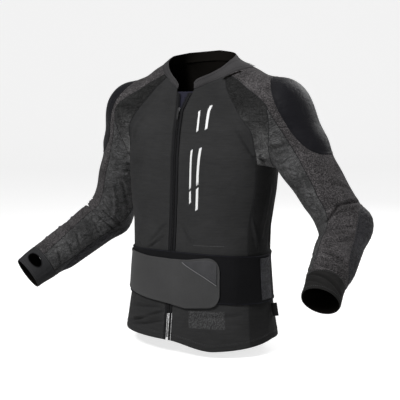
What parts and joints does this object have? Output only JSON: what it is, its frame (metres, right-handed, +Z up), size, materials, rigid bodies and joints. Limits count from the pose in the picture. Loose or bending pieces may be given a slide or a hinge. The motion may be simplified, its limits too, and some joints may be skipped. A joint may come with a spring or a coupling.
{
  "type": "armoured motorcycle jersey",
  "caption": "Close-fitting zip-front armoured riding jersey with collar, mesh sleeves, shoulder and elbow pads and a kidney belt, in its worn form.",
  "frame": {"origin": "middle of the neck base, where the wearer's neck leaves the shoulders", "axes": "+Z up, -Y the way the front faces, +X towards the wearer's left"},
  "size_m": [0.9431, 0.3461, 0.6958],
  "materials": {
    "chest_fabric": "matte fine-knit cloth",
    "back_fabric": "matte fine-knit cloth",
    "insert_mesh": "semi-sheer fine mesh",
    "side_fabric": "matte stretch cloth",
    "yoke_heather": "brown-grey melange knit",
    "sleeve_mesh": "semi-sheer fine mesh",
    "shoulder_armour": "smooth soft-armour cover",
    "elbow_armour": "smooth soft-armour cover",
    "cuff_fabric": "fine rib knit",
    "collar_fabric": "fine rib knit",
    "piping_cord": "light cord",
    "zip_tape": "woven tape",
    "zip_teeth": "moulded",
    "zip_slider": "dark enamel",
    "zip_pull": "moulded",
    "placket_fabric": "matte cloth",
    "belt_elastic": "woven elastic",
    "belt_flap": "smooth laminated cloth",
    "belt_grip": "ribbed grip patch",
    "belt_anchor": "stitched strip",
    "side_tab": "folded woven tab"
  },
  "bodies": {
    "root": {"back_panel": "back_fabric", "belt_anchor_left": "belt_anchor", "belt_band": "belt_elastic", "belt_flap": "belt_flap", "belt_grip": "belt_grip", "collar": "collar_fabric", "cuff_left": "cuff_fabric", "cuff_right": "cuff_fabric", "elbow_pad_left": "elbow_armour", "elbow_pad_right": "elbow_armour", "front_mesh_left": "insert_mesh", "front_mesh_right": "insert_mesh", "front_panel_left": "chest_fabric", "front_panel_right": "chest_fabric", "inner_placket": "placket_fabric", "piping_left": "piping_cord", "piping_right": "piping_cord", "shoulder_pad_left": "shoulder_armour", "shoulder_pad_right": "shoulder_armour", "side_panel_left": "side_fabric", "side_panel_right": "side_fabric", "side_tab": "side_tab", "sleeve_back_left": "sleeve_mesh", "sleeve_back_right": "sleeve_mesh", "sleeve_front_left": "sleeve_mesh", "sleeve_front_right": "sleeve_mesh", "yoke_left": "yoke_heather", "yoke_right": "yoke_heather", "zip_pull": "zip_pull", "zip_slider": "zip_slider", "zip_tape_left": "zip_tape", "zip_tape_right": "zip_tape", "zip_teeth": "zip_teeth"}
  },
  "joints": []
}
